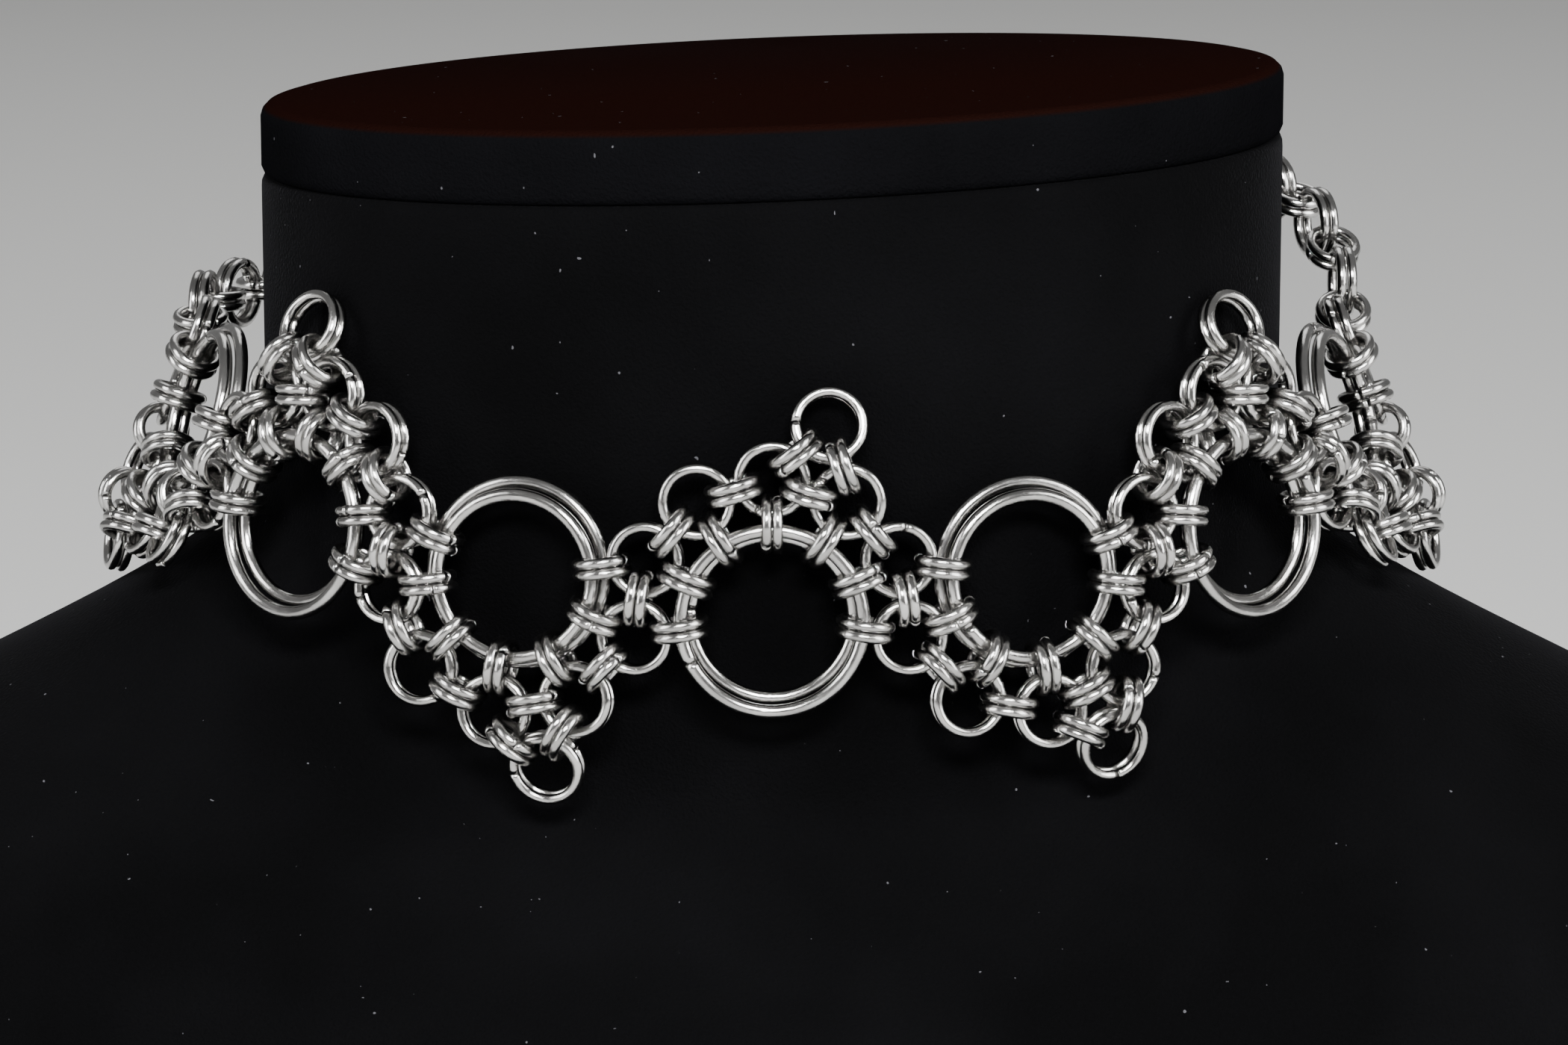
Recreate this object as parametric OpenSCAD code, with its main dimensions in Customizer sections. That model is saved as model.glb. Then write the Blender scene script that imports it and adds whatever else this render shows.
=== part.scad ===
/* [Wire] */
// Wire of the big rings
big_wire = 1.5; // [1.3:0.01:1.5]
// Wire of the medium and small rings
small_wire = 1.12; // [1:0.01:1.12]

/* [Rings] */
// Mean radius of the outer big ring of each flower
outer_r = 10.14; // [10.1:0.01:10.18]
// Mean radius of the inner big ring, which lies in front where the petals hang and behind elsewhere
inner_r = 9.12; // [9.08:0.01:9.15]
// Mean radius of the medium rings round a flower
medium_r = 3.75; // [3.7:0.01:3.75]
// Mean radius of the small connector rings
small_r = 2.78; // [2.75:0.01:2.8]
// Half the distance between the two rings of a doubled ring
half_pair = 0.618; // [0.612:0.001:0.625]

/* [Flower] */
// From a flower's middle to its own medium rings
petal_reach = 15.43; // [15.4:0.01:15.46]
// From a flower's middle to the medium rings that it shares
shared_reach = 15.46; // [15.44:0.01:15.5]
// Between the upper and the lower shared medium ring
shared_gap = 8.73; // [8.7:0.01:8.8]
// Angle from petal to petal of a flower whose petals are on top
step_up = 32.87; // [32.8:0.01:32.95]
// Angle from petal to petal of a flower whose petals hang
step_down = 37.2; // [37.1:0.01:37.3]
// Distance from the tip ring to each of the two petals that hold it
tip_reach = 8.65; // [8.6:0.01:8.7]
// Drop of the tip ring behind the petals that hold it
tip_drop = 0.53; // [0.5:0.01:0.56]

/* [Strand] */
// Backward lean of the middle flower
lean = 3.5; // [2:0.5:4]
// Outward bend of the petals of the end flowers, which lie on the shoulder
end_flare = 12; // [10:1:14]

/* [Bust] */
// Half the width of the neck
neck_half_w = 61; // [59:0.5:61]
// Half the depth of the neck
neck_half_d = 48; // [46:0.5:48]
// Half the width of the base
base_half_w = 118; // [110:1:125]
// Half the depth of the base
base_half_d = 74; // [70:1:80]
// From the floor to the middle flower
flower_h = 120; // [100:1:140]
// From the middle flower to the top of the neck
neck_top = 54; // [50:1:60]
// Thickness of the top pad
cap_t = 8.4; // [6:0.1:10]

/* [Hidden] */

big_fn = 96;
small_fn = 48;
steel = [0.66, 0.67, 0.69];
bright = [0.71, 0.72, 0.73];
velvet = [0.03, 0.03, 0.035];
brown = [0.05, 0.035, 0.03];

// A flower's frame: its middle, the way it faces, the way along the strand and the way up in its plane
MID = 0;
FACE = 1;
ALONG = 2;
RISE = 3;

// One row for each flower from the middle to an end.
// fold: bend behind the flower, inner and outer: how far its big rings stand before its middle plane,
// slack: rise of the outer ring, flare: bend of the petals
//             fold   inner  outer  slack  flare
FLOWERS = [[   8.61, -0.19,  1.26, -0.3,   0],
           [  12.09,  0.12, -1.35,  0.37,  0],
           [  15,    -0.19,  1.26, -0.3,   0],
           [  15,     0.12, -1.35,  0.1,   end_flare]];
FOLD = 0;
INNER = 1;
OUTER = 2;
SLACK = 3;
FLARE = 4;

// How a doubled connector sits off the middle of its line, in mm: along the line, outwards and up.
// The last two are the slants of its plane, as tangents.
S_ALONG = 0;
S_OUT = 1;
S_UP = 2;
S_YAW = 3;
S_ROLL = 4;
MIDDLE = 0;
SIDE = 1;
NEAR = 2;
FAR = 3;
// From the big rings to the medium ones, for a flower whose petals are on top
//            along  out     up     yaw     roll
UP_SEATS = [[-0.13,  0,      0.13,  0,      0],
            [-0.12,  0.12,   0.15,  0,     -0.042],
            [-0.14,  0.1,   -0.01, -0.025,  0.054],
            [-0.13, -0.24,  -0.07,  0.006,  0.042]];
// The same for a flower whose petals hang
DOWN_SEATS = [[-0.11,  0,     -0.17,  0,      0],
              [-0.11,  0.11,  -0.17, -0.002,  0.041],
              [-0.14,  0.17,  -0.06, -0.013,  0.074],
              [-0.13, -0.18,  -0.04,  0.019,  0.065]];
// All other doubled connectors
seat_plain  = [ 0,     0.05,   0,     0,      0.012];
seat_tipped = [ 0.01, -0.22,   0.28,  0.011,  0.049];
seat_next   = [ 0.01, -0.08,   0.29,  0.008,  0.006];
seat_hinge  = [ 0,     0,      0.75,  0,      0];
seat_tip    = [-0.44,  0.38,   1.02,  0.091,  0.059];
// From a petal's middle to the wall of its connector
connector_reach = 1.15;
// Lift of the shared medium rings off the plane between two flowers
shared_up = -0.165;
// Slant of the tip ring, as a tangent
tip_slant = 0.35;

function unit(v) = v / norm(v);
function off_line(v, d) = v - (v * d) * d;
function turn(x, y, a) = cos(a) * x + sin(a) * y;
function flip(v) = [-v.x, v.y, v.z];

// Half the angle between a flower's two shared rings, seen from its middle
half_shared = asin(shared_gap / 2 / shared_reach);
span_up = 2 * half_shared + 4 * step_up;
span_down = 2 * half_shared + 4 * step_down;
function is_up(k) = k % 2 == 0;
function step_of(k) = is_up(k) ? step_up : step_down;
function tilt_of(k) = is_up(k) ? (180 - span_up) / 2 : (span_down - 180) / 2;

// The way from flower k to the next, and the way up beside it
function to_next(f, k) = turn(f[ALONG], f[RISE], tilt_of(k));
function up_next(f, k) = turn(f[ALONG], f[RISE], tilt_of(k) + 90);

// The hinge behind flower k: the upper and the lower shared ring, the way they face and the way across
function hinge_of(f, k) =
    let (x = to_next(f, k),
         e = up_next(f, k),
         fold = FLOWERS[k][FOLD],
         across = turn(x, -f[FACE], fold),
         face = turn(f[FACE], x, fold),
         inner = shared_reach - medium_r)
    [for (s = [1, -1])
        f[MID] + inner * turn(x, e, s * half_shared) + medium_r * turn(across, e, s * half_shared)
        + shared_up * face,
     face, across];
H_UPPER = 0;
H_LOWER = 1;
H_FACE = 2;
H_ACROSS = 3;

// The next flower is this one seen in the plane between them, turned round to its own upright
function mirrored(v, n) = v - 2 * (v * n) * n;
function next_flower(f, k) =
    let (h = hinge_of(f, k),
         across = h[H_ACROSS],
         half = ((h[H_UPPER] + h[H_LOWER]) / 2 - f[MID]) * across,
         face = mirrored(f[FACE], across),
         back = mirrored(to_next(f, k), across),
         a = 180 - tilt_of(k + 1),
         along = turn(back, -cross(face, back), a))
    [f[MID] + 2 * half * across, face, along, cross(face, along)];

flower_0 = [[0, 0, 0], [0, -cos(lean), sin(lean)], [1, 0, 0], [0, sin(lean), cos(lean)]];
flower_1 = next_flower(flower_0, 0);
flower_2 = next_flower(flower_1, 1);
flower_3 = next_flower(flower_2, 2);
FRAMES = [flower_0, flower_1, flower_2, flower_3];
RIGHT_HINGES = [for (k = [0:3]) hinge_of(FRAMES[k], k)];
first_left = [for (v = RIGHT_HINGES[0]) flip(v)];
function hinge(i) = i < 0 ? first_left : RIGHT_HINGES[i];

// A doubled medium ring: its middle and the way it faces. Petals count 0, 1, 2 along the flower.
function petal(k, j) =
    let (f = FRAMES[k],
         a = (is_up(k) ? 1 : -1) * (90 + (1 - j) * step_of(k)),
         d = turn(f[ALONG], f[RISE], a),
         flare = FLOWERS[k][FLARE])
    [f[MID] + (petal_reach - medium_r) * d + medium_r * turn(d, f[FACE], flare),
     turn(f[FACE], -d, flare)];
function near_ring(k, i) = [hinge(i)[is_up(k) ? H_UPPER : H_LOWER], hinge(i)[H_FACE]];
function far_ring(k, i) = [hinge(i)[is_up(k) ? H_LOWER : H_UPPER], hinge(i)[H_FACE]];

// The tip ring stands over the middle petal and the one on the given side.
// Its axes go from the first of these petals to the other, outwards, and the way that both face.
T_ACROSS = 0;
T_OUT = 1;
T_FACE = 2;
function tip_axes(k, side) =
    let (a = petal(k, 1),
         b = petal(k, 1 + side),
         across = unit(b[0] - a[0]),
         face = unit(off_line(a[1] + b[1], across)))
    [across, (is_up(k) ? 1 : -1) * side * cross(face, across), face];
function tip(k, side) =
    let (a = petal(k, 1)[0],
         b = petal(k, 1 + side)[0],
         axes = tip_axes(k, side),
         half = norm(b - a) / 2)
    [(a + b) / 2 + axes[T_OUT] * sqrt(tip_reach * tip_reach - half * half) - tip_drop * axes[T_FACE],
     unit(axes[T_FACE] + tip_slant * axes[T_OUT])];

// A doubled connector on the line d, outwards along o, in the plane that n faces
function tie(base, d0, o0, n0, seat) =
    let (d = unit(d0),
         o = unit(off_line(o0, d)),
         n = unit(off_line(off_line(n0, d), o)))
    [base + seat[S_ALONG] * d + seat[S_OUT] * o + seat[S_UP] * n,
     unit(o + seat[S_YAW] * d + seat[S_ROLL] * n)];

// From the big rings to a medium ring
function big_tie(k, ring, reach, out, place) =
    let (f = FRAMES[k],
         d = unit(off_line(ring[0] - f[MID], f[FACE])),
         seats = is_up(k) ? UP_SEATS : DOWN_SEATS)
    tie(f[MID] + (reach - medium_r - connector_reach) * d, d, out, f[FACE], seats[place]);
// From one medium ring to the next
function medium_tie(k, a, b, seat) =
    tie((a[0] + b[0]) / 2, b[0] - a[0], (a[0] + b[0]) / 2 - FRAMES[k][MID], a[1] + b[1], seat);
// From a petal to the tip ring
function tip_tie(k, side, j) =
    let (axes = tip_axes(k, side),
         t = tip(k, side),
         p = petal(k, j),
         out = j == 1 ? -axes[T_ACROSS] : axes[T_ACROSS])
    tie((p[0] + t[0]) / 2, t[0] - p[0], out, axes[T_FACE] + t[1], seat_tip);

function big_ties(k) =
    let (f = FRAMES[k],
         mid = petal(k, 1)[0])
    concat([big_tie(k, petal(k, 1), petal_reach, f[ALONG], MIDDLE)],
        [for (j = [0, 2]) big_tie(k, petal(k, j), petal_reach, petal(k, j)[0] - mid, SIDE)],
        [for (i = [k - 1, k]) let (r = near_ring(k, i)) big_tie(k, r, shared_reach, r[0] - mid, NEAR)],
        [for (i = [k - 1, k]) let (r = far_ring(k, i)) big_tie(k, r, shared_reach, r[0] - mid, FAR)]);
function petal_ties(k, side) =
    concat([for (j = [0, 2])
        medium_tie(k, petal(k, 1), petal(k, j), j == 1 + side ? seat_tipped : seat_plain)],
        [for (j = [0, 2]) medium_tie(k, petal(k, j), near_ring(k, j == 0 ? k - 1 : k), seat_next)]);
function flower_ties(k, side) =
    concat(big_ties(k), petal_ties(k, side), [for (j = [1, 1 + side]) tip_tie(k, side, j)]);
function hinge_tie(i) =
    let (h = hinge(i))
    tie((h[H_UPPER] + h[H_LOWER]) / 2, h[H_UPPER] - h[H_LOWER], h[H_ACROSS], h[H_FACE], seat_hinge);

// The bust round its own upright axis. Angle 0 is the front and h counts from the middle flower.
neck_gap = 3.8;
axis_y = neck_half_d + neck_gap;
front_line = -22;
side_line = 10.5;
shoulder_slope = 2.5;
fillet = 16;
base_round = 12;
top_slope = 0.04;
slope_from = 20;
slope_rise = 25;
bust_sides = 44;
foot_round = 1.5;
cap_round = 1.6;
cap_gap = 0.2;
BUST_ROWS = [-flower_h, foot_round - flower_h, -96, -76, -60, -48, -39, -32, -26, -21, -16, -12, -8, -4,
    0, 4, 8, 12, 16, 22, 32, neck_top - cap_t];
function oval(w, d, a) = w * d / norm([d * sin(a), w * cos(a)]);
function fall_line(a) = front_line + (side_line - front_line) * pow(sin(a), 4);
function flare_out(t) = t <= 0 ? 0 : shoulder_slope * (norm([t, fillet]) - fillet);
function soft_min(x, y) = (x + y - norm([x - y, base_round])) / 2;
function bust_r(a, h) =
    soft_min(oval(neck_half_w, neck_half_d, a) + flare_out(fall_line(a) - h),
        oval(base_half_w, base_half_d, a));
// Towards the top the bust leans to one side
function bust_point(a, h, inset) =
    let (r = bust_r(a, h) - inset,
         x = r * sin(a),
         share = min(1, max(0, (h - slope_from) / slope_rise)))
    [x, axis_y - r * cos(a), h + top_slope * share * x];

// A closed loft through rows of points, with flat ends
module loft(rows) {
    n = len(rows[0]);
    m = len(rows);
    sides = [for (i = [0:m - 2], j = [0:n - 1]) let (p = i * n + j, q = i * n + (j + 1) % n)
        each [[p, q, q + n], [p, q + n, p + n]]];
    bottom = [for (j = [n - 1:-1:0]) j];
    top = [for (j = [0:n - 1]) (m - 1) * n + j];
    faces = concat(sides, [bottom, top]);
    polyhedron([for (r = rows) each r], [for (t = faces) [for (i = [len(t) - 1:-1:0]) t[i]]]);
}
function bust_row(h, inset) = [for (j = [0:bust_sides - 1]) bust_point(360 * j / bust_sides, h, inset)];

// Route of the chain's middle round the back of the neck, from the last flower on each side to the clasp
RIGHT_ROUTE = [[69, 63, 28], [68, 68, 32], [65, 76, 36], [59, 84, 38], [50, 91, 39], [40, 96, 39],
    [30, 99.5, 38], [20, 102.5, 37], [10, 104, 35.5]];
LEFT_ROUTE = [[-69, 63, 25], [-68, 68, 25], [-65, 76, 25], [-59, 84, 25], [-50, 91, 26], [-40, 96, 27],
    [-30, 99.5, 29], [-20, 102.5, 31], [-10, 104, 33]];
chain_d = 5.6;
chain_sides = 8;
clasp_l = 18.5;
clasp_d = 6;
clasp_at = [0, 104.6, 34.25];
clasp_turn = 7;

function tangent(route, i) = unit(route[min(i + 1, len(route) - 1)] - route[max(i - 1, 0)]);
function tube_ring(route, i, r) =
    let (t = tangent(route, i),
         u = unit(off_line([0, 0, 1], t)),
         v = cross(t, u))
    [for (j = [0:chain_sides - 1]) route[i] + r * turn(u, v, 360 * j / chain_sides)];
module tube(route, d) {
    loft([for (i = [0:len(route) - 1]) tube_ring(route, i, d / 2)]);
}

// A round ring of wire w whose plane faces n
module ring(c, n, r, w, steps) {
    translate(c) rotate([0, acos(n.z), atan2(n.y, n.x)])
        rotate_extrude($fn = steps) translate([r, 0]) circle(d = w, $fn = steps / 2);
}
// Two like rings of small wire side by side
module double_ring(seat, r) {
    n = unit(seat[1]);
    for (s = [1, -1]) ring(seat[0] + s * half_pair * n, n, r, small_wire, small_fn);
}
// Everything is placed from the middle flower; flowers and hinges to the left are the right ones mirrored
module placed() translate([0, -axis_y, flower_h]) children();
module sided(k) mirror([k < 0 ? 1 : 0, 0, 0]) children();

module outer_ring(k) {
    f = FRAMES[abs(k)];
    row = FLOWERS[abs(k)];
    c = f[MID] + row[OUTER] * f[FACE] + row[SLACK] * f[RISE];
    color(steel) placed() sided(k) ring(c, f[FACE], outer_r, big_wire, big_fn);
}
module inner_ring(k) {
    f = FRAMES[abs(k)];
    c = f[MID] + FLOWERS[abs(k)][INNER] * f[FACE];
    color(bright) placed() sided(k) ring(c, f[FACE], inner_r, big_wire, big_fn);
}
// The tip ring of the first flower on the left stands on the side of the middle
function tip_side(k) = k == -1 ? -1 : 1;
module petals(k) {
    color(bright) placed() sided(k) {
        for (j = [0:2]) double_ring(petal(abs(k), j), medium_r);
        double_ring(tip(abs(k), tip_side(k)), medium_r);
    }
}
module connectors(k) {
    color(steel) placed() sided(k) for (t = flower_ties(abs(k), tip_side(k))) double_ring(t, small_r);
}
// Hinges count from 1 beside the middle flower to 4 beyond the end flower, where no connector shows
module hinge_rings(i) {
    h = hinge(abs(i) - 1);
    color(bright) placed() sided(i) {
        for (c = [h[H_UPPER], h[H_LOWER]]) double_ring([c, h[H_FACE]], medium_r);
        if (abs(i) < 4) double_ring(hinge_tie(abs(i) - 1), small_r);
    }
}
module chain_right() color(steel) placed() tube(RIGHT_ROUTE, chain_d);
module chain_left() color(steel) placed() tube(LEFT_ROUTE, chain_d);
module clasp() {
    color(steel) placed() translate(clasp_at) rotate([0, 90 - clasp_turn, 0]) {
        cylinder(d = clasp_d, h = clasp_l - clasp_d, center = true, $fn = 32);
        for (s = [1, -1]) translate([0, 0, s * (clasp_l - clasp_d) / 2]) sphere(d = clasp_d, $fn = 32);
    }
}
module bust() color(velvet) placed()
    loft([for (i = [0:len(BUST_ROWS) - 1]) bust_row(BUST_ROWS[i], i == 0 ? foot_round : 0)]);
module bust_cap() color(brown) placed()
    loft([bust_row(neck_top - cap_t + cap_gap, 0), bust_row(neck_top - cap_round, 0),
        bust_row(neck_top - cap_round / 3, cap_round / 3), bust_row(neck_top, cap_round)]);

bust();
bust_cap();
outer_ring(-3);  // outer_ring_L3
outer_ring(-2);  // outer_ring_L2
outer_ring(-1);  // outer_ring_L1
outer_ring(0);  // outer_ring_0
outer_ring(1);  // outer_ring_R1
outer_ring(2);  // outer_ring_R2
outer_ring(3);  // outer_ring_R3
inner_ring(-3);  // inner_ring_L3
inner_ring(-2);  // inner_ring_L2
inner_ring(-1);  // inner_ring_L1
inner_ring(0);  // inner_ring_0
inner_ring(1);  // inner_ring_R1
inner_ring(2);  // inner_ring_R2
inner_ring(3);  // inner_ring_R3
petals(-3);  // petals_L3
petals(-2);  // petals_L2
petals(-1);  // petals_L1
petals(0);  // petals_0
petals(1);  // petals_R1
petals(2);  // petals_R2
petals(3);  // petals_R3
hinge_rings(-4);  // hinge_L4
hinge_rings(-3);  // hinge_L3
hinge_rings(-2);  // hinge_L2
hinge_rings(-1);  // hinge_L1
hinge_rings(1);  // hinge_R1
hinge_rings(2);  // hinge_R2
hinge_rings(3);  // hinge_R3
hinge_rings(4);  // hinge_R4
connectors(-2);  // connectors_L2
connectors(-1);  // connectors_L1
connectors(0);  // connectors_0
connectors(1);  // connectors_R1
connectors(2);  // connectors_R2
chain_left();
chain_right();
clasp();
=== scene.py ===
"""The looks of a chainmail necklace on a velvet neck bust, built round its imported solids."""
import math

import bpy
import numpy as np
from mathutils import Matrix, Vector


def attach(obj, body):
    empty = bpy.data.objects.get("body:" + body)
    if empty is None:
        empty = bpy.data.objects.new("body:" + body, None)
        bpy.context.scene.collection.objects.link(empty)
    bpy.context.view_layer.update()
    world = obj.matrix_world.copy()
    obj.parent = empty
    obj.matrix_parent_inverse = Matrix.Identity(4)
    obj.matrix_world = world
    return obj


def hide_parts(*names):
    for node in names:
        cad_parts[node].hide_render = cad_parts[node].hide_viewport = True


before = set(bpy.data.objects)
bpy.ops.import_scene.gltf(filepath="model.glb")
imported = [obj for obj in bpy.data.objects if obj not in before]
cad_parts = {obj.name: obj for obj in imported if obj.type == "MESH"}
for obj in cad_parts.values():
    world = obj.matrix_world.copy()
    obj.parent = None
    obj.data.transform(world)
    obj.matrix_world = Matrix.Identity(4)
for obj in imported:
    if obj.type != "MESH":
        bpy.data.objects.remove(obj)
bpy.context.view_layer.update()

# Sizes in mm, counted from the middle flower: X along the strand, Y to the back, Z up.
# Some aren't worked out here: another program searched for places where every two rings are about 0.1 mm
# apart. Its rounded results are outer_r, inner_r, petal_reach, shared_reach, shared_gap, step_up, step_down,
# tip_reach, tip_drop, tip_slant and shared_up, the first two bends and the three columns after the bends in
# FLOWERS, but for the end flower's slack, and all three tables of seats.
MM = 0.001
# Thickness of the two wires, and the mean radius of each kind of ring
big_wire = 1.5
small_wire = 1.12
outer_r = 10.14
inner_r = 9.12
medium_r = 3.75
small_r = 2.78
# Half the distance between the two rings of a doubled ring
half_pair = 0.618
# The solids' rings keep clear gaps of 0.1 mm, and thicker wire fills most of them, because real rings touch
wire_growth = 0.08
# From a flower's middle to its own medium rings and to the shared ones, and between two shared ones
petal_reach = 15.43
shared_reach = 15.46
shared_gap = 8.73
# Angle from petal to petal where the petals are on top, and where they hang
step_up = 32.87
step_down = 37.2
# From the tip ring to each of the two petals that hold it, and how far it sits behind them
tip_reach = 8.65
tip_drop = 0.53
# Backward lean of the middle flower, and outward bend of the end flowers' petals
lean = 3.5
end_flare = 12
# Half the width and depth of the bust's neck and base, the middle flower's height over the floor, the
# height of the bust's top over that flower, and the thickness of the top pad
neck_half_w = 61
neck_half_d = 48
base_half_w = 118
base_half_d = 74
flower_h = 120
neck_top = 54
cap_t = 8.4
# The middle flower stands this far before the neck, and that far before the bust's own upright axis
neck_gap = 3.8
axis_y = neck_half_d + neck_gap
# The top of the bust leans to one side, as a tangent, and its rim is rounded
top_slope = 0.04
cap_round = 1.6

# One row for each flower from the middle to an end: bend behind the flower, how far the inner and the outer
# big ring stand before its middle, rise of the outer one, outward bend of the petals
FLOWERS = [
    [8.61, -0.19, 1.26, -0.3, 0],
    [12.09, 0.12, -1.35, 0.37, 0],
    [15, -0.19, 1.26, -0.3, 0],
    [15, 0.12, -1.35, 0.1, end_flare],
]
FOLD, INNER, OUTER, SLACK, FLARE = range(5)
END_FLOWER = 3

# How a doubled connector sits off its line: along, outwards, up, and the two slants of its plane.
# The first four go from the big rings to the medium ones, here for a flower whose petals hang.
SEATS = {
    "middle": [-0.11, 0, -0.17, 0, 0],
    "side": [-0.11, 0.11, -0.17, -0.002, 0.041],
    "near": [-0.14, 0.17, -0.06, -0.013, 0.074],
    "far": [-0.13, -0.18, -0.04, 0.019, 0.065],
    "plain": [0, 0.05, 0, 0, 0.012],
    "tipped": [0.01, -0.22, 0.28, 0.011, 0.049],
    "next": [0.01, -0.08, 0.29, 0.008, 0.006],
    "hinge": [0, 0, 0.75, 0, 0],
    "tip": [-0.44, 0.38, 1.02, 0.091, 0.059],
}
# For a flower whose petals are on top
UP_SEATS = {
    **SEATS,
    "middle": [-0.13, 0, 0.13, 0, 0],
    "side": [-0.12, 0.12, 0.15, 0, -0.042],
    "near": [-0.14, 0.1, -0.01, -0.025, 0.054],
    "far": [-0.13, -0.24, -0.07, 0.006, 0.042],
}
# For the end flowers, whose petals bend outwards
END_SEATS = {
    **SEATS,
    "side": [-0.12, -0.04, -0.17, 0.028, 0.062],
    "plain": [0, 0.09, -0.07, 0, 0.029],
    "tipped": [0.01, -0.05, 0, 0.005, 0.131],
    "next": [-0.02, -0.43, 0.17, -0.011, -0.006],
}
# From a petal's middle to the wall of its connector
connector_reach = 1.15
# Lift of the shared medium rings off the plane between two flowers
shared_up = -0.165
# Slant of the tip ring, as a tangent
tip_slant = 0.35


# Directions and frames

def unit(v):
    """The vector divided by its length."""
    return v / np.linalg.norm(v)


def off_line(v, d):
    """The part of v that is square to the unit vector d: v less its share along d."""
    return v - (v @ d) * d


def turn(x, y, degrees):
    """The direction at an angle from x towards y: cosine times x plus sine times y."""
    a = math.radians(degrees)
    return math.cos(a) * x + math.sin(a) * y


# Half the angle between the two rings of a hinge, and the angle from hinge to hinge over the petals
half_shared = math.degrees(math.asin(shared_gap / 2 / shared_reach))
span_up = 2 * half_shared + 4 * step_up
span_down = 2 * half_shared + 4 * step_down


def is_up(k):
    """Whether flower k has its petals on top, as every second one has."""
    return k % 2 == 0


def tilt_of(k):
    """The angle from a flower's own line along the strand up to its hinge: half the difference between its
    span over the petals and a half turn."""
    return (180 - span_up) / 2 if is_up(k) else (span_down - 180) / 2


def hinge_of(f, k):
    """The two rings that flower k shares with the next. A centre is reached in flower k's plane as far as
    the ring's near edge, and from there by the ring's radius in the plane that is bent back by the fold.
    The two flowers are mirror images in the plane that is square to across."""
    x = turn(f["along"], f["rise"], tilt_of(k))
    e = turn(f["along"], f["rise"], tilt_of(k) + 90)
    across = turn(x, -f["face"], FLOWERS[k][FOLD])
    face = turn(f["face"], x, FLOWERS[k][FOLD])
    inner = shared_reach - medium_r
    places = [f["mid"] + inner * turn(x, e, s * half_shared) + medium_r * turn(across, e, s * half_shared)
              + shared_up * face for s in (1, -1)]
    return {"upper": places[0], "lower": places[1], "face": face, "across": across, "to_next": x}


def next_flower(f, k):
    """Flower k seen in the mirror that stands between it and the next, turned back to its own upright."""
    h = hinge_of(f, k)
    across = h["across"]
    half = ((h["upper"] + h["lower"]) / 2 - f["mid"]) @ across
    face = f["face"] - 2 * (f["face"] @ across) * across
    back = h["to_next"] - 2 * (h["to_next"] @ across) * across
    along = turn(back, -np.cross(face, back), 180 - tilt_of(k + 1))
    return {"mid": f["mid"] + 2 * half * across, "face": face, "along": along, "rise": np.cross(face, along)}


def flower_frames():
    """The frames of the middle flower and of the three to its right, each from the one before."""
    f = {"mid": np.zeros(3), "face": turn(np.array([0, -1, 0]), np.array([0, 0, 1]), lean),
         "along": np.array([1.0, 0, 0]), "rise": turn(np.array([0, 0, 1]), np.array([0, 1, 0]), lean)}
    frames = [f]
    for k in range(END_FLOWER):
        frames.append(next_flower(frames[-1], k))
    return frames


FRAMES = flower_frames()
HINGES = [hinge_of(f, k) for k, f in enumerate(FRAMES)]
FLIP = np.array([-1.0, 1, 1])


def hinge(i):
    """Hinge i counted from the middle flower's right side; hinge -1 is its mirror image on the left."""
    if i < 0:
        return {name: value * FLIP for name, value in HINGES[0].items()}
    return HINGES[i]


def petal(k, j):
    """Centre and face of a flower's own medium ring j, from 0 on the side of the middle flower to 2 on the
    other. It is on a ray from the flower's middle, bent outwards by the flare at the ring's near edge."""
    f = FRAMES[k]
    step = step_up if is_up(k) else step_down
    d = turn(f["along"], f["rise"], (1 if is_up(k) else -1) * (90 + (1 - j) * step))
    flare = FLOWERS[k][FLARE]
    centre = f["mid"] + (petal_reach - medium_r) * d + medium_r * turn(d, f["face"], flare)
    return centre, turn(f["face"], -d, flare)


def shared_ring(k, i, near):
    """Centre and face of a ring of hinge i: the near one is on the side of flower k's petals."""
    h = hinge(i)
    upper = near == is_up(k)
    return h["upper" if upper else "lower"], h["face"]


def tip(k, side):
    """The tip ring over the middle petal and the one on the given side: its centre and face, then the line
    from the one petal to the other and the way that both face. In the plane of the two petals its centre
    is tip_reach from each petal's, and from there it sits tip_drop further back."""
    (a, na), (b, nb) = petal(k, 1), petal(k, 1 + side)
    across = unit(b - a)
    face = unit(off_line(na + nb, across))
    out = (1 if is_up(k) else -1) * side * np.cross(face, across)
    height = math.sqrt(tip_reach ** 2 - (b - a) @ (b - a) / 4)
    centre = (a + b) / 2 + out * height - tip_drop * face
    return centre, unit(face + tip_slant * out), across, face


def tie(base, d, o, n, seat):
    """Centre and face of a doubled connector on the line d, with o outwards and n upwards of it, made square
    to each other, and moved and slanted along the three as its seat says."""
    d = unit(d)
    o = unit(off_line(o, d))
    n = unit(off_line(off_line(n, d), o))
    along, out, up, yaw, roll = seat
    return base + along * d + out * o + up * n, unit(o + yaw * d + roll * n)


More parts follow.
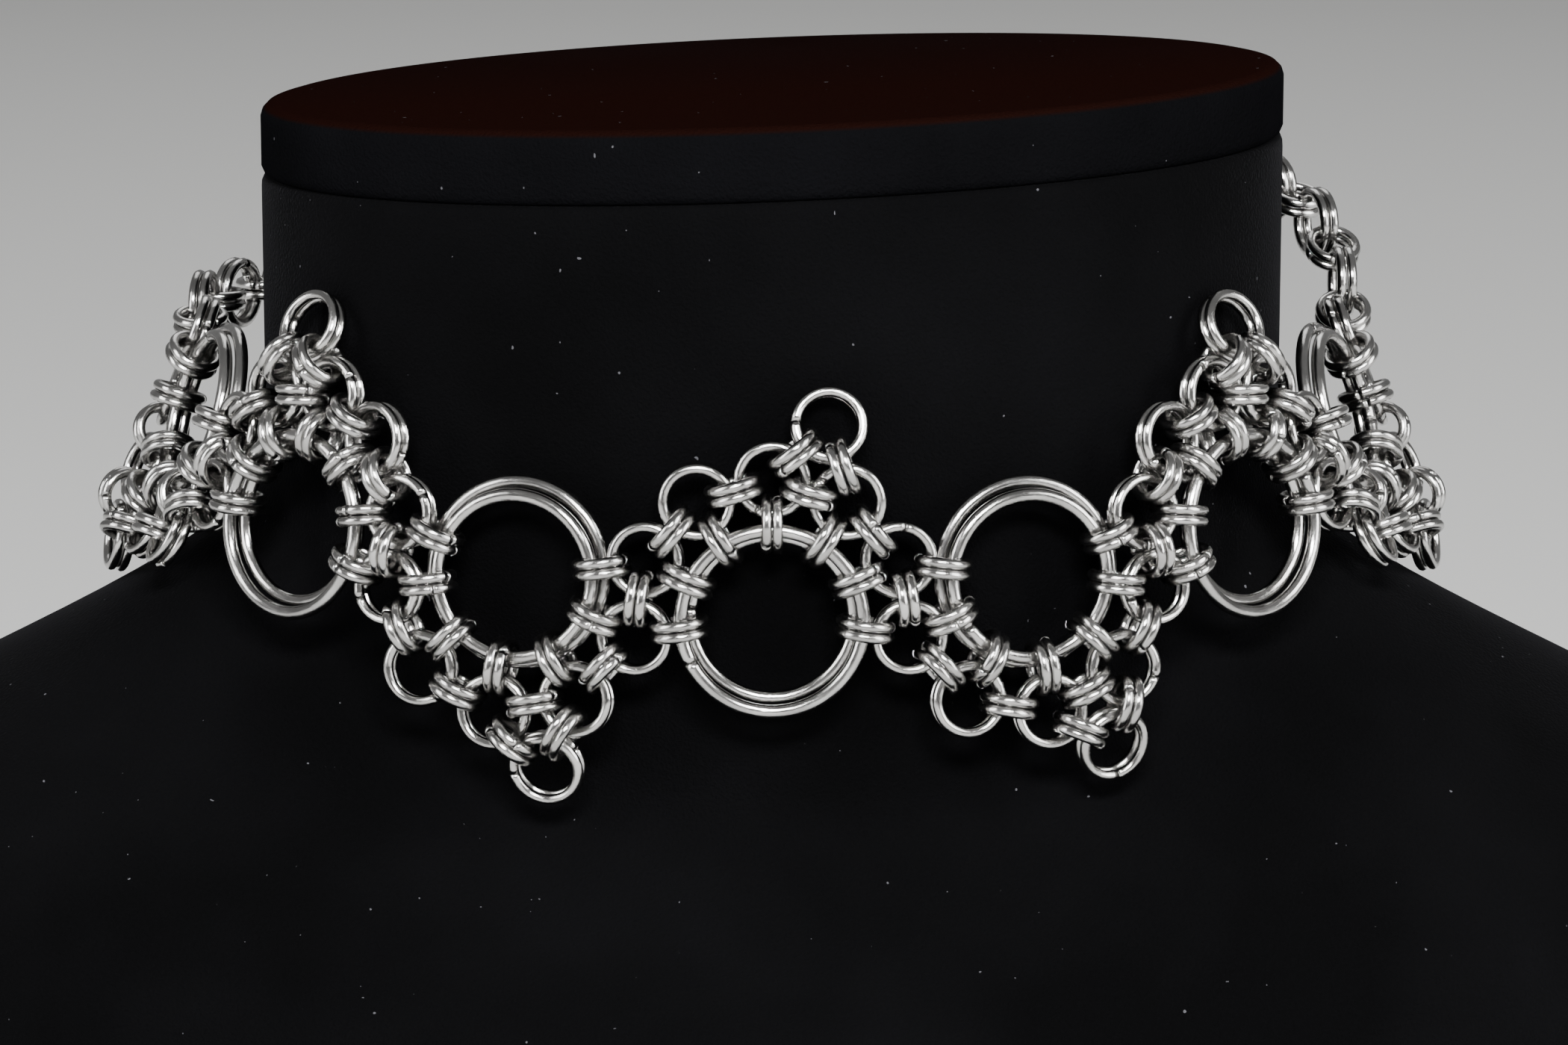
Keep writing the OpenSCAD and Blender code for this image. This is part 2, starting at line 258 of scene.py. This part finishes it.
def flower_ties(k, side):
    """All doubled connectors of flower k: first those to the big rings, then those from one medium ring to
    the next, then the two that hold the tip ring."""
    f = FRAMES[k]
    seats = UP_SEATS if is_up(k) else END_SEATS if k == END_FLOWER else SEATS
    middle = petal(k, 1)[0]
    jobs = [(middle, petal_reach, f["along"], "middle")]
    jobs += [(petal(k, j)[0], petal_reach, petal(k, j)[0] - middle, "side") for j in (0, 2)]
    for near, name in ((True, "near"), (False, "far")):
        for i in (k - 1, k):
            ring = shared_ring(k, i, near)[0]
            jobs.append((ring, shared_reach, ring - middle, name))
    ties = []
    for ring, reach, out, name in jobs:
        d = unit(off_line(ring - f["mid"], f["face"]))
        base = f["mid"] + (reach - medium_r - connector_reach) * d
        ties.append(tie(base, d, out, f["face"], seats[name]))
    pairs = [(petal(k, 1), petal(k, j), "tipped" if j == 1 + side else "plain") for j in (0, 2)]
    pairs += [(petal(k, j), shared_ring(k, k - 1 if j == 0 else k, True), "next") for j in (0, 2)]
    for (a, na), (b, nb), name in pairs:
        ties.append(tie((a + b) / 2, b - a, (a + b) / 2 - f["mid"], na + nb, seats[name]))
    top, slanted, across, face = tip(k, side)
    for j in (1, 1 + side):
        a = petal(k, j)[0]
        ties.append(tie((a + top) / 2, top - a, -across if j == 1 else across, face + slanted, seats["tip"]))
    return ties


def hinge_tie(i):
    """The doubled connector between the upper and the lower ring of hinge i."""
    h = hinge(i)
    between = (h["upper"] + h["lower"]) / 2
    return tie(between, h["upper"] - h["lower"], h["across"], h["face"], SEATS["hinge"])


# Wire rings: each is a row of centre, face, radius and wire

def doubled(seats, radius):
    """Two like rings side by side for each seat, half the pair's distance to each side along its face."""
    return [(c + s * half_pair * unit(n), unit(n), radius, small_wire) for c, n in seats for s in (1, -1)]


def to_side(rows, left):
    """The same rings, or for the left side their mirror image, which has X the other way."""
    return [(c * FLIP, n * FLIP, r, w) for c, n, r, w in rows] if left else rows


def place(points):
    """From mm counted from the middle flower to metres counted from the floor under the bust's axis."""
    return (points + np.array([0, -axis_y, flower_h])) * MM


# A saw cut's least and greatest width, and how far a ring's two ends stand apart along its face, at most
cut_widths = (0.03, 0.1)
wound_rise = 0.07
# The draw lines' pattern starts this much further on from ring to ring, so that no two rings look alike
pattern_shift = 20.0
# A face whose X is over this is nearly along X, and the ray is then worked out from Y
nearly_x = 0.8


def wire_rings(rows, seed, steps, sides):
    """Rings of round wire, each cut once: a circle swept round a slightly wound circle.
    A point is the centre plus (radius + half wire times cos v) along the ray at u, plus half wire times
    sin v along the face, plus a small rise that grows evenly with u, as in a ring cut from a coil.
    The ends stand a saw cut apart and are closed by flat discs. Steps are counted along the wire and
    sides round it."""
    count = len(rows)
    centre = np.array([row[0] for row in rows])
    face = np.array([row[1] for row in rows])
    radius = np.array([row[2] for row in rows])
    half = (np.array([row[3] for row in rows]) + wire_growth) / 2
    rng = np.random.default_rng(seed)
    start = rng.uniform(0, 2 * np.pi, count)
    cut = rng.uniform(*cut_widths, count) / radius
    rise = rng.uniform(-wound_rise, wound_rise, count)
    helper = np.where(np.abs(face[:, :1]) < nearly_x, [[1.0, 0, 0]], [[0, 1.0, 0]])
    ray = np.cross(face, helper)
    ray /= np.linalg.norm(ray, axis=1)[:, None]
    side = np.cross(face, ray)
    share = np.linspace(0, 1, steps + 1)
    u = start[:, None] + cut[:, None] / 2 + share * (2 * np.pi - cut[:, None])
    v = np.linspace(0, 2 * np.pi, sides, endpoint=False)
    radial = np.cos(u)[..., None] * ray[:, None] + np.sin(u)[..., None] * side[:, None]
    out = radius[:, None] + half[:, None] * np.cos(v)
    up = half[:, None, None] * np.sin(v) + (rise[:, None] * (share - 0.5))[..., None]
    points = (centre[:, None, None] + out[:, None, :, None] * radial[:, :, None]
              + up[..., None] * face[:, None, None])
    i, j = np.meshgrid(np.arange(steps), np.arange(sides), indexing="ij")
    a = i * sides + j
    b = i * sides + (j + 1) % sides
    quads = np.stack([a, a + sides, b + sides, b], axis=-1).reshape(-1, 4)
    first = (np.arange(count) * (steps + 1) * sides)[:, None, None]
    quads = (quads + first).reshape(-1, 4)
    disc = np.arange(sides)
    caps = np.concatenate([disc + first[:, 0], disc[::-1] + steps * sides + first[:, 0]])
    shift = pattern_shift * np.arange(count)[:, None, None]
    length = (share * 2 * np.pi * radius[:, None])[:, :, None] + shift
    on_wire = np.stack(np.broadcast_arrays(length, np.cos(v), np.sin(v)), axis=-1)
    return points.reshape(-1, 3), quads, caps, on_wire.reshape(-1, 3)


def mesh_piece(name, points, quads, caps, on_wire=None):
    """A mesh object at the origin from arrays of points, four-sided faces and end faces, and where it is
    wire, the place of each point on it: the length along the wire and the cosine and sine round it."""
    faces = quads.tolist() + caps.tolist()
    mesh = bpy.data.meshes.new(name)
    mesh.from_pydata(place(points).tolist(), [], faces)
    smooth = np.ones(len(faces), bool)
    smooth[len(quads):] = False
    mesh.polygons.foreach_set("use_smooth", smooth)
    if on_wire is not None:
        places = mesh.attributes.new("on_wire", "FLOAT_VECTOR", "POINT")
        places.data.foreach_set("vector", on_wire.astype(np.float32).ravel())
    mesh.update()
    piece = bpy.data.objects.new(name, mesh)
    bpy.context.collection.objects.link(piece)
    return piece


# Materials

class Value:
    """A node's output socket, on which + - * and > add Math nodes."""

    def __init__(self, finish, socket):
        self.finish = finish
        self.socket = socket

    def math(self, operation, a, b):
        """One Math node on two values or numbers."""
        return self.finish.node("ShaderNodeMath", {"operation": operation}, {0: a, 1: b})

    def __add__(self, other):
        return self.math("ADD", self, other)

    __radd__ = __add__

    def __sub__(self, other):
        return self.math("SUBTRACT", self, other)

    def __rsub__(self, other):
        return self.math("SUBTRACT", other, self)

    def __mul__(self, other):
        return self.math("MULTIPLY", self, other)

    __rmul__ = __mul__

    def __gt__(self, other):
        return self.math("GREATER_THAN", self, other)

    def clamped(self):
        """The value held between 0 and 1."""
        return self.finish.node("ShaderNodeClamp", {}, {"Value": self})

    def rising(self, start, gain):
        """0 up to the start, and from there the gain times what the value is over it, up to 1."""
        return ((self - start) * gain).clamped()


class Finish:
    """A material whose nodes are added one at a time by node()."""

    def __init__(self, name):
        self.material = bpy.data.materials.new(name)
        self.material.use_nodes = True
        self.tree = self.material.node_tree
        self.shader = self.tree.nodes["Principled BSDF"]

    def node(self, kind, settings, inputs, output=0):
        """Adds a node of a type, sets its settings first, then the values or links of its sockets."""
        made = self.tree.nodes.new(kind)
        for key, setting in settings.items():
            setattr(made, key, setting)
        for key, given in inputs.items():
            self.put(made.inputs[key], given)
        return Value(self, made.outputs[output])

    def put(self, socket, given):
        """Links a value to a socket, or sets the socket's own number or colour."""
        if isinstance(given, Value):
            self.tree.links.new(given.socket, socket)
        elif isinstance(given, tuple) and len(given) == 3 and socket.type == "RGBA":
            socket.default_value = (*given, 1)
        else:
            socket.default_value = given

    def set(self, **inputs):
        """Puts values on the shader's sockets, an underscore standing for a space."""
        for key, given in inputs.items():
            self.put(self.shader.inputs[key.replace("_", " ")], given)

    def mix(self, factor, a, b):
        """Colour a where the factor is 0 and colour b where it is 1. The node takes its colours at its
        sockets 6 and 7 and gives the mix at socket 2."""
        return self.node("ShaderNodeMix", {"data_type": "RGBA"}, {0: factor, 6: a, 7: b}, 2)

    def noise(self, where, cells, detail, rough=0.5):
        """Smooth noise at so many cells to the unit of its coordinates, with finer octaves of it on top."""
        return self.node("ShaderNodeTexNoise", {}, {"Vector": where, "Scale": cells, "Detail": detail,
                                                    "Roughness": rough})

    def place(self):
        """The point on the object, in metres, from socket 3 of the node."""
        return self.node("ShaderNodeTexCoord", {}, {}, 3)


def wire_finish(name, light, dark, rough):
    """Drawn wire with a satin shine: two greys in soft patches, a haze that dulls it here and there,
    and fine draw lines that run along the wire and spread the light to both sides of it."""
    stretch = (0.1, 1.0, 1.0)
    mean = 0.5
    haze_dulls = 0.16
    lines_dull = 0.2
    haze_height = 0.3
    relief_depth = 0.04 * MM
    m = Finish(name)
    where = m.place()
    on_wire = m.node("ShaderNodeAttribute", {"attribute_name": "on_wire"}, {}, 1)
    lengthwise = m.node("ShaderNodeVectorMath", {"operation": "MULTIPLY"}, {0: on_wire, 1: stretch})
    patches = m.noise(where, cells=260.0, detail=2.0)
    haze = m.noise(where, cells=900.0, detail=3.0)
    lines = m.noise(lengthwise, cells=7.0, detail=3.0, rough=0.65)
    m.set(Base_Color=m.mix(patches.rising(start=0.35, gain=2.2), dark, light), Metallic=1.0)
    m.set(Roughness=(rough + (haze - mean) * haze_dulls + (lines - mean) * lines_dull).clamped())
    relief = lines + haze * haze_height
    m.set(Normal=m.node("ShaderNodeBump", {}, {"Strength": 0.5, "Distance": relief_depth, "Height": relief}))
    return m.material


def velvet_finish(name, pile, brushed, dust_and_sheen=None):
    """Short pile: near black, a little lighter where it is brushed the other way, with specks of lint.
    The top face, above a plane that leans as the bust's top does, may get a warm reddish tint, partly dust
    and partly painted sheen, most
    of all along its front: the share falls off evenly with Y towards the back."""
    fibre_share = 0.3
    rim_height = (flower_h + neck_top - cap_round / 2) * MM
    rim_sharpness = 2500.0
    dust_and_sheen_share = 0.9
    fall_off = 8.0
    lint_from = 0.885
    lint_share = 0.3
    lint_colour = (0.2, 0.2, 0.22)
    pile_depth = 0.4 * MM
    m = Finish(name)
    where = m.place()
    strokes = m.noise(where, cells=22.0, detail=3.0, rough=0.55)
    fibres = m.noise(where, cells=2600.0, detail=2.0)
    lint = m.noise(where, cells=1500.0, detail=0.0)
    ruffled = strokes.rising(start=0.42, gain=3.0) * (1 - fibre_share) + fibres * fibre_share
    colour = m.mix(ruffled, pile, brushed)
    if dust_and_sheen:
        x, y, z = (m.node("ShaderNodeSeparateXYZ", {}, {0: where}, n) for n in range(3))
        topside = (z - x * top_slope).rising(rim_height, rim_sharpness)
        # Painted sheen with some warm dust: the top face turns reddish, most of all at its front
        colour = m.mix(topside * (dust_and_sheen_share - y * fall_off).clamped(), colour, dust_and_sheen)
    colour = m.mix((lint > lint_from) * lint_share, colour, lint_colour)
    # Where the sheen is painted into the colour, the shader's own shine and sheen are off
    m.set(Base_Color=colour, Roughness=1.0, Specular_IOR_Level=0.0 if dust_and_sheen else 0.03)
    m.set(Sheen_Weight=0.0 if dust_and_sheen else 0.02, Sheen_Roughness=0.3, Sheen_Tint=(0.5, 0.5, 0.56, 1))
    m.set(Normal=m.node("ShaderNodeBump", {}, {"Strength": 0.6, "Distance": pile_depth, "Height": fibres}))
    return m.material


bright = wire_finish("bright_wire", light=(0.58, 0.572, 0.558), dark=(0.38, 0.374, 0.364), rough=0.14)
steel = wire_finish("steel_wire", light=(0.54, 0.534, 0.523), dark=(0.34, 0.335, 0.327), rough=0.17)
velvet = velvet_finish("black_velvet", pile=(0.0008, 0.0008, 0.0009), brushed=(0.0024, 0.0024, 0.0028))
# The top pad is the same velvet as the bust: its greys are lighter as painted sheen, in place of the shine
# its shader leaves out, and its reddish top is partly dust and partly painted sheen
velvet_top = velvet_finish("top_velvet", pile=(0.0016, 0.0016, 0.0018), brushed=(0.0036, 0.0036, 0.0043),
                           dust_and_sheen=(0.006, 0.002, 0.0015))


def dress(piece, material, nodes):
    """Gives a piece its material and puts it in place of the solids it stands for."""
    piece.data.materials.append(material)
    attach(piece, "root")
    if nodes:
        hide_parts(*nodes)


def rings_piece(name, rows, material, slot, nodes, steps=40, sides=10):
    """One piece of cut wire rings; its cuts come from a seed made of its name."""
    seed = sum(ord(letter) * (n + 1) for n, letter in enumerate(name))
    dress(mesh_piece(name, *wire_rings(rows, seed, steps, sides)), material, nodes)


# The seven flowers

def flower_pieces(k, left):
    """The outer, inner, petal and connector rings of flower k on one side."""
    f = FRAMES[k]
    label = "0" if k == 0 else ("L" if left else "R") + str(k)
    # Only the tip ring of the first flower on the left stands on the side of the middle
    side = -1 if label == "L1" else 1
    row = FLOWERS[k]
    fine_mesh = {"steps": 96, "sides": 16}
    outer = [(f["mid"] + row[OUTER] * f["face"] + row[SLACK] * f["rise"], f["face"], outer_r, big_wire)]
    inner = [(f["mid"] + row[INNER] * f["face"], f["face"], inner_r, big_wire)]
    petals = doubled([petal(k, j) for j in range(3)] + [tip(k, side)[:2]], medium_r)
    ties = doubled(flower_ties(k, side), small_r)
    # The connectors of an end flower have no solid of their own
    tie_nodes = [] if k == END_FLOWER else ["connectors_" + label]
    rings_piece("outer_wire_" + label, to_side(outer, left), steel, "steel",
                ["outer_ring_" + label], **fine_mesh)
    rings_piece("inner_wire_" + label, to_side(inner, left), bright, "bright_steel",
                ["inner_ring_" + label], **fine_mesh)
    rings_piece("petal_wires_" + label, to_side(petals, left), bright, "bright_steel", ["petals_" + label])
    rings_piece("connector_wires_" + label, to_side(ties, left), steel, "steel", tie_nodes)


def hinge_pieces(i, left):
    """The doubled rings of hinge i, and between flowers the connector that joins them."""
    h = HINGES[i]
    rows = doubled([(h["upper"], h["face"]), (h["lower"], h["face"])], medium_r)
    if i < END_FLOWER:
        rows += doubled([hinge_tie(i)], small_r)
    label = ("L" if left else "R") + str(i + 1)
    rings_piece("hinge_wires_" + label, to_side(rows, left), bright, "bright_steel", ["hinge_" + label])


for k in range(len(FRAMES)):
    for left in ((False,) if k == 0 else (False, True)):
        flower_pieces(k, left)
for i in range(len(HINGES)):
    for left in (False, True):
        hinge_pieces(i, left)


# The chain behind the neck

# Points on the chain's middle line on each side, from the last flower to the clasp
RIGHT_ROUTE = [[69, 63, 28], [68, 68, 32], [65, 76, 36], [59, 84, 38], [50, 91, 39], [40, 96, 39],
               [30, 99.5, 38], [20, 102.5, 37], [10, 104, 35.5]]
LEFT_ROUTE = [[-69, 63, 25], [-68, 68, 25], [-65, 76, 25], [-59, 84, 25], [-50, 91, 26], [-40, 96, 27],
              [-30, 99.5, 29], [-20, 102.5, 31], [-10, 104, 33]]
# There are as many links as the route's length less the room for the clasp, divided by the pitch
chain_pitch = 5.3
clasp_room = 1.5


def chain_links(route, start):
    """Doubled rings at even steps along the route, small and medium by turns, each square to the last.
    Every ring's face is square to the route: upright for the small ones and level for the medium ones."""
    points = np.array([start, *route], float)
    run = np.concatenate([[0], np.cumsum(np.linalg.norm(np.diff(points, axis=0), axis=1))])
    count = int(round((run[-1] - clasp_room) / chain_pitch))
    at = (np.arange(count) + 0.5) * run[-1] / count
    centres = np.stack([np.interp(at, run, points[:, n]) for n in range(3)], axis=1)
    ways = np.gradient(centres, axis=0)
    small, medium = [], []
    for n, (c, d) in enumerate(zip(centres, ways)):
        d = unit(d)
        level = unit(np.cross(d, [0, 0, 1]))
        upright = np.cross(level, d)
        if n % 2 == 0:
            small.append((c, upright))
        else:
            medium.append((c, level))
    return doubled(medium, medium_r) + doubled(small, small_r)


for label, route in (("right", RIGHT_ROUTE), ("left", LEFT_ROUTE)):
    upper = HINGES[END_FLOWER]["upper"] * (FLIP if label == "left" else 1)
    rings_piece("chain_links_" + label, chain_links(route, upper), steel, "steel", ["chain_" + label],
                steps=28, sides=8)


# The bust

# The neck widens into the shoulders below these heights, in front and at the sides
front_line = -22
side_line = 10.5
shoulder_slope = 2.5
fillet = 16
base_round = 12
# The top leans from this height on, and fully so after this rise
slope_from = 20
slope_rise = 25


def oval(w, d, a):
    """The radius of an ellipse with half axes w and d, at angle a from the front."""
    return w * d / np.hypot(d * np.sin(a), w * np.cos(a))


def bust_point(a, h, inset):
    """A point on the bust at angle a and height h. Its radius is the neck's oval plus a fillet and slope
    that start at a line lowest in front, softly limited by the base's oval; its top leans to one side."""
    fall = front_line + (side_line - front_line) * np.sin(a) ** 4
    below = np.maximum(0, fall - h)
    wide = oval(neck_half_w, neck_half_d, a) + shoulder_slope * (np.hypot(below, fillet) - fillet)
    base = oval(base_half_w, base_half_d, a)
    r = (wide + base - np.hypot(wide - base, base_round)) / 2 - inset
    x = r * np.sin(a)
    share = np.clip((h - slope_from) / slope_rise, 0, 1)
    return np.stack([x, axis_y - r * np.cos(a), h + top_slope * share * x], axis=-1)


def round_skin(rows, sides=176):
    """A closed skin through rows of height and inset of the bust, with one flat face at each end."""
    a = np.linspace(0, 2 * np.pi, sides, endpoint=False)
    heights, insets = np.array(rows, float).T
    h, angle = np.meshgrid(heights, a, indexing="ij")
    points = bust_point(angle, h, insets[:, None])
    i, j = np.meshgrid(np.arange(len(rows) - 1), np.arange(sides), indexing="ij")
    p = i * sides + j
    q = i * sides + (j + 1) % sides
    quads = np.stack([p, q, q + sides, p + sides], axis=-1).reshape(-1, 4)
    disc = np.arange(sides)
    caps = np.stack([disc[::-1], disc + (len(rows) - 1) * sides])
    return points.reshape(-1, 3), quads, caps


# The rounded edges of the skins: height from the edge, and inset there
FOOT_EDGE = [(0, 1.6), (0.6, 0.5), (1.6, 0)]
UNDER_SEAM = [(-0.9, 0.05), (-0.3, 0.3), (0, 0.9)]
OVER_SEAM = [(0, 0.9), (0.4, 0.3), (1.1, 0), (3, 0), (5, 0)]
TOP_EDGE = [(-1.6, 0), (-0.8, 0.25), (-0.25, 0.8), (0, 1.8)]
# The plain rows start this high over the floor, end this far under the seam and have this step
plain_start = 4
plain_end = 1
row_step = 2.5


def edge_rows(height, edge):
    """The rows of a rounded edge that lies at a height."""
    return [(height + up, inset) for up, inset in edge]


seam = neck_top - cap_t
plain_rows = [(h, 0) for h in np.arange(plain_start - flower_h, seam - plain_end, row_step)]
body_skin = round_skin(edge_rows(-flower_h, FOOT_EDGE) + plain_rows + edge_rows(seam, UNDER_SEAM))
pad_skin = round_skin(edge_rows(seam, OVER_SEAM) + edge_rows(neck_top, TOP_EDGE))
dress(mesh_piece("velvet_bust", *body_skin), velvet, ["bust"])
dress(mesh_piece("velvet_top_pad", *pad_skin), velvet_top, ["bust_cap"])

clasp_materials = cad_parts["clasp"].data.materials
clasp_materials.clear()
clasp_materials.append(steel)


# Camera, lights and floor

def look(camera, at, target_offset):
    """Turns the camera from a point to the middle flower, then by two small tangents off it."""
    forward = unit(place(np.zeros(3)) - at)
    right = unit(np.cross(forward, [0, 0, 1]))
    up = np.cross(right, forward)
    forward = unit(forward - target_offset[0] * right - target_offset[1] * up)
    right = unit(np.cross(forward, [0, 0, 1]))
    up = np.cross(right, forward)
    turned = Matrix(np.stack([right, up, -forward], axis=1).tolist()).to_4x4()
    camera.matrix_world = Matrix.Translation(Vector(at)) @ turned


# The photo's size, its focal length and the middle flower's place in it, in pixels
photo_w = 2100
photo_h = 1399
focal_px = 7711
flower_px = (1034, 826)
sensor_w = 36
# The camera's distance from the middle flower in mm, and how far it looks down
camera_away = 640
camera_elevation = math.radians(12)
camera_data = bpy.data.cameras.new("camera")
camera_data.sensor_width = sensor_w
camera_data.lens = sensor_w * focal_px / photo_w
camera_data.clip_start = 0.01
camera_data.clip_end = 20
camera = bpy.data.objects.new("camera", camera_data)
bpy.context.collection.objects.link(camera)
bpy.context.scene.camera = camera
away = camera_away * np.array([0, -math.cos(camera_elevation), math.sin(camera_elevation)])
look(camera, place(away), ((flower_px[0] - photo_w / 2) / focal_px, (photo_h / 2 - flower_px[1]) / focal_px))


def soft_light(name, at, size, power, aim=(0, 0, 0.12)):
    """A rectangular light of a size in metres and a power in watts, aimed at a point on the object."""
    data = bpy.data.lights.new(name, "AREA")
    data.shape = "RECTANGLE"
    data.size, data.size_y = size
    data.energy = power
    lamp = bpy.data.objects.new(name, data)
    bpy.context.collection.objects.link(lamp)
    lamp.location = at
    lamp.rotation_euler = (Vector(aim) - Vector(at)).to_track_quat("-Z", "Y").to_euler()


soft_light("front_light", at=(0.06, -1.05, 0.8), size=(0.5, 0.2), power=34)
soft_light("left_light", at=(-0.95, -0.5, 0.5), size=(0.45, 0.8), power=12)
soft_light("right_light", at=(0.95, -0.5, 0.5), size=(0.45, 0.8), power=17)
soft_light("back_light", at=(0.0, 1.2, 1.6), size=(1.2, 1.2), power=10)

world = bpy.data.worlds.new("studio")
bpy.context.scene.world = world
world.use_nodes = True
backdrop = world.node_tree.nodes["Background"]
backdrop.inputs["Color"].default_value = (0.81, 0.81, 0.81, 1)
backdrop.inputs["Strength"].default_value = 0.3

floor_half = 4
floor_mesh = bpy.data.meshes.new("floor")
floor_corners = [(x * floor_half, y * floor_half, 0) for x, y in ((-1, -1), (1, -1), (1, 1), (-1, 1))]
floor_mesh.from_pydata(floor_corners, [], [(0, 1, 2, 3)])
floor = bpy.data.objects.new("floor", floor_mesh)
bpy.context.collection.objects.link(floor)
pale = Finish("pale_floor")
pale.set(Base_Color=(0.62, 0.62, 0.61), Roughness=0.8)
floor_mesh.materials.append(pale.material)
